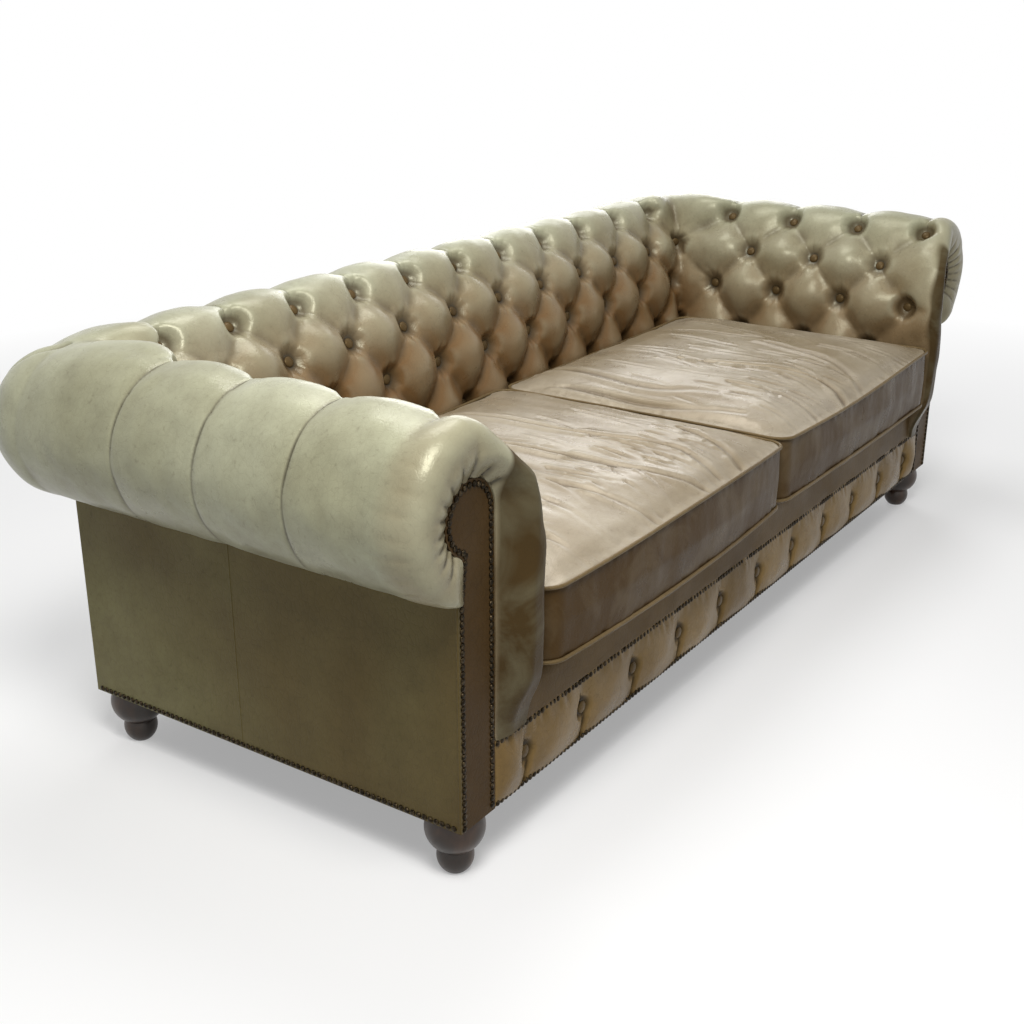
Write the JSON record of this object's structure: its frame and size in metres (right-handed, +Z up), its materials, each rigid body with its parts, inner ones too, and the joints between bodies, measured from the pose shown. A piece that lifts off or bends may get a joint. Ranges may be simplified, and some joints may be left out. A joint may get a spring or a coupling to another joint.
{
  "type": "chesterfield sofa",
  "caption": "Deep-buttoned leather sofa with rolled arms and back of one height, two loose seat cushions, nailed facings and turned feet.",
  "frame": {"origin": "on the floor, under the middle of the whole sofa", "axes": "+X along the sofa, to the right as seen from in front; +Y to the back; +Z up"},
  "size_m": [2.3936, 1.0087, 0.7917],
  "materials": {
    "hardwood": "sawn",
    "walnut": "satin lacquer",
    "steel": "zinc plated",
    "jute": "woven",
    "dust_cloth": "woven",
    "deck_cloth": "woven",
    "roll_leather": "hand-antiqued, semi-gloss",
    "button_leather": "hand-antiqued, semi-gloss",
    "facing_leather": "hand-antiqued, semi-gloss",
    "panel_leather": "hand-antiqued, semi-gloss",
    "border_leather": "hand-antiqued, semi-gloss",
    "cushion_leather": "hand-antiqued, semi-gloss"
  },
  "bodies": {
    "sofa": {"back_buttons": "button_leather", "back_left_foot": "walnut", "back_outside_panel": "panel_leather", "back_pad": "roll_leather", "back_rail": "hardwood", "back_right_foot": "walnut", "back_tack_rail": "hardwood", "back_top_rail": "hardwood", "back_uprights": "hardwood", "back_webbing": "jute", "border_buttons": "button_leather", "corner_blocks": "hardwood", "deck_lip": "border_leather", "dust_cover": "dust_cloth", "foot_studs": "walnut", "front_border_pad": "border_leather", "front_left_foot": "walnut", "front_rail": "hardwood", "front_right_foot": "walnut", "left_arm_buttons": "button_leather", "left_arm_pad": "roll_leather", "left_arm_stump": "hardwood", "left_arm_tack_rail": "hardwood", "left_arm_top_rail": "hardwood", "left_arm_upright": "hardwood", "left_arm_webbing": "jute", "left_back_post": "hardwood", "left_facing": "facing_leather", "left_outside_panel": "panel_leather", "left_roll_corner": "roll_leather", "left_side_rail": "hardwood", "right_arm_buttons": "button_leather", "right_arm_pad": "roll_leather", "right_arm_stump": "hardwood", "right_arm_tack_rail": "hardwood", "right_arm_top_rail": "hardwood", "right_arm_upright": "hardwood", "right_arm_webbing": "jute", "right_back_post": "hardwood", "right_facing": "facing_leather", "right_outside_panel": "panel_leather", "right_roll_corner": "roll_leather", "right_side_rail": "hardwood", "seat_cross_rails": "hardwood", "seat_deck_pad": "deck_cloth", "seat_webbing": "jute"},
    "left_cushion": {"left_seat_cushion": "cushion_leather"},
    "right_cushion": {"right_seat_cushion": "cushion_leather"}
  },
  "joints": [
    {"name": "left_cushion_lift", "type": "slide", "parent": "sofa", "child": "left_cushion", "axis": [0, 0, 1], "range_m": [0, 0.35]},
    {"name": "right_cushion_lift", "type": "slide", "parent": "sofa", "child": "right_cushion", "axis": [0, 0, 1], "range_m": [0, 0.35]}
  ]
}
